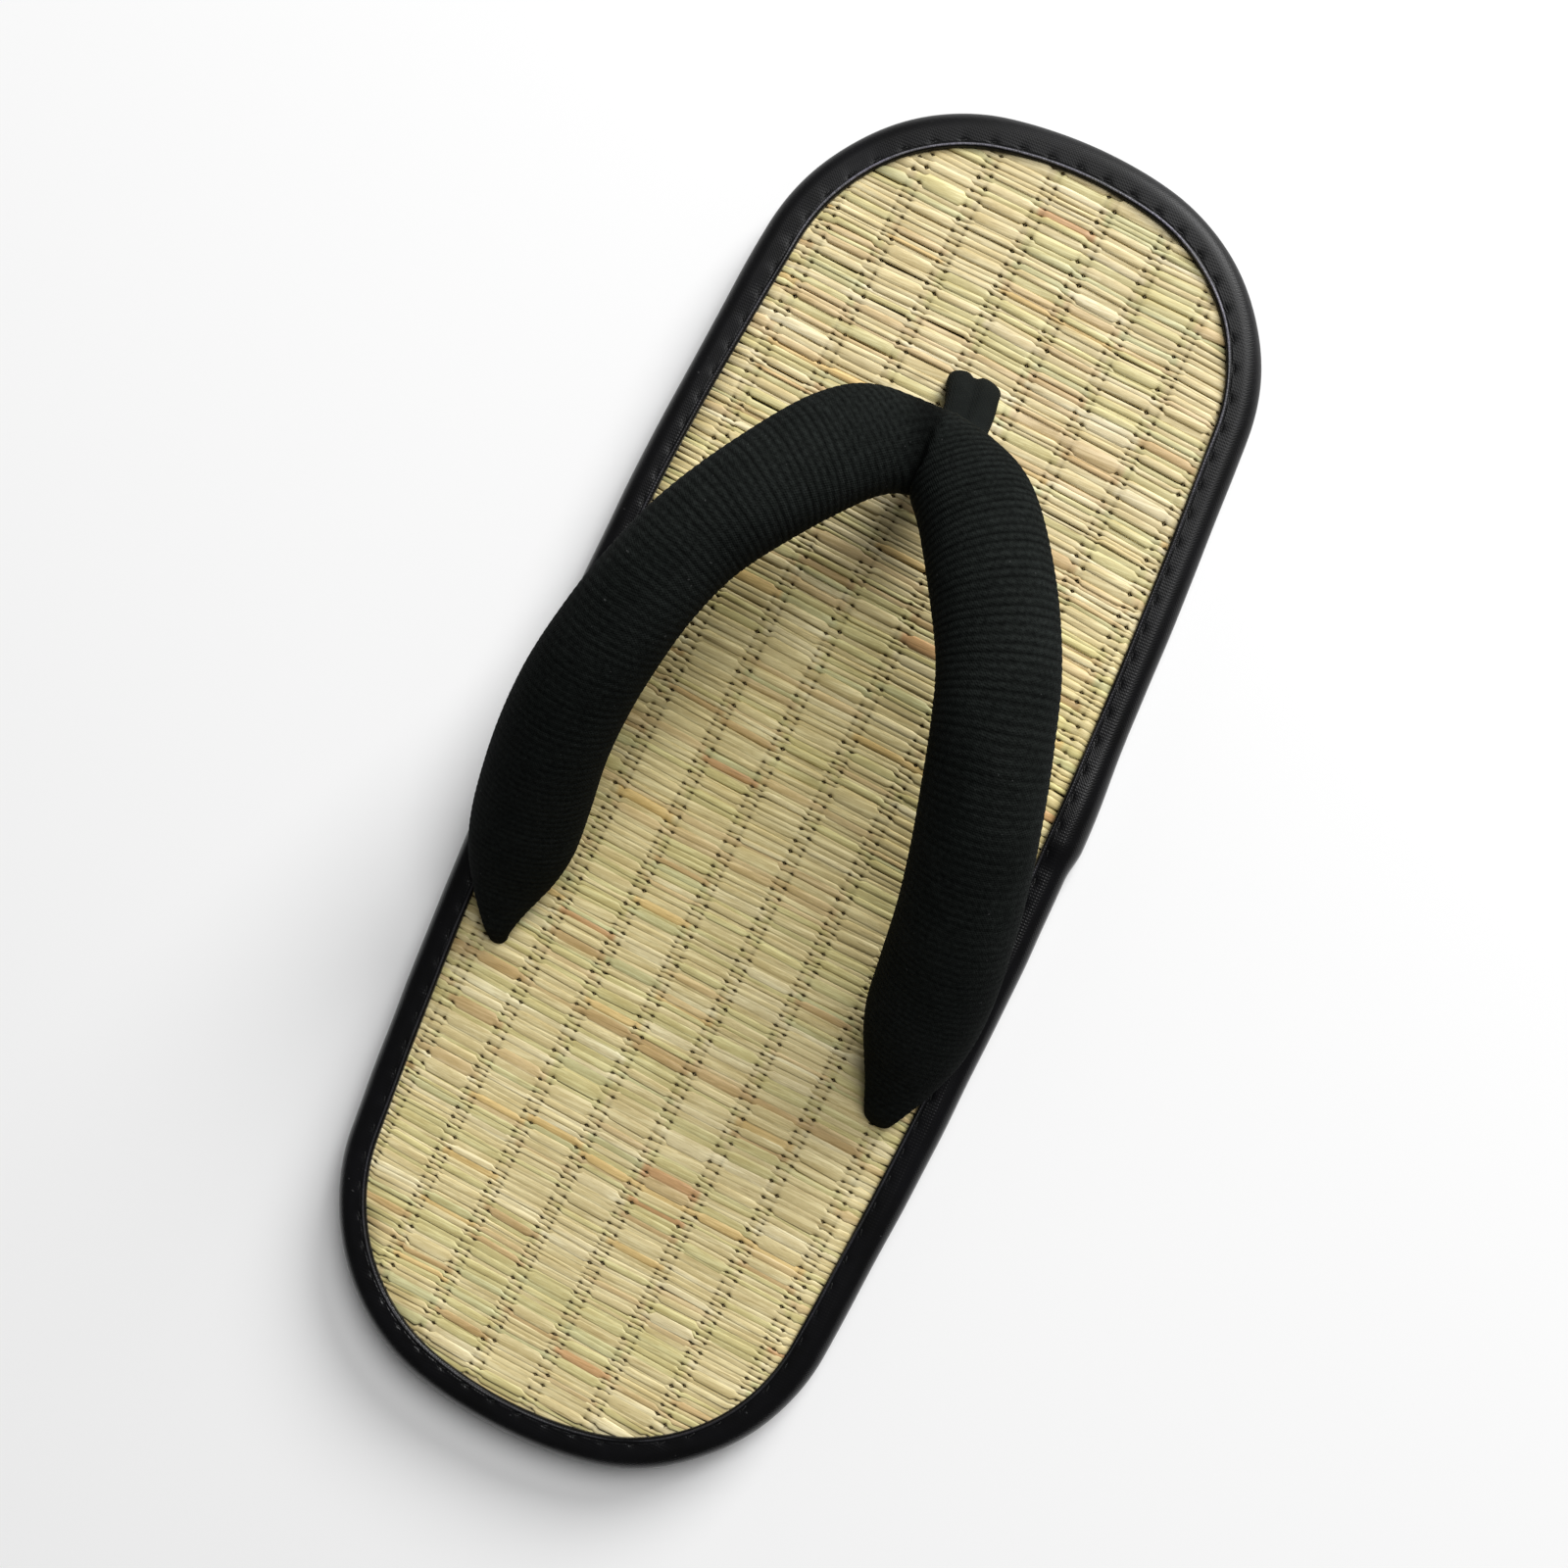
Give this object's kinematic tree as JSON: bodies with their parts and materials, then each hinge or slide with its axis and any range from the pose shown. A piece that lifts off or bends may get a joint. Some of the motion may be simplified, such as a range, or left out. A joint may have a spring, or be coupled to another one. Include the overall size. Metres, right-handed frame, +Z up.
{
  "type": "zori sandal",
  "caption": "Flat zori sandal: woven rush footbed on a foam sole, cloth-bound edge, and a stuffed V strap held at the toe by a cloth loop.",
  "frame": {"origin": "on the floor under the middle of the sole", "axes": "+Y towards the toe, +X to the wearer's right, +Z up"},
  "size_m": [0.1018, 0.25, 0.0557],
  "materials": {
    "foam": "matt foam with a fine skin",
    "rush": "dry rush stems, satin",
    "tape": "black woven tape, slight sheen",
    "strap_cloth": "black ribbed cotton, matt",
    "loop_cloth": "black folded cotton, matt"
  },
  "bodies": {
    "root": {"sole": "foam", "rush_mat": "rush", "edge_binding": "tape", "hanao_strap": "strap_cloth", "toe_loop": "loop_cloth"}
  },
  "joints": []
}
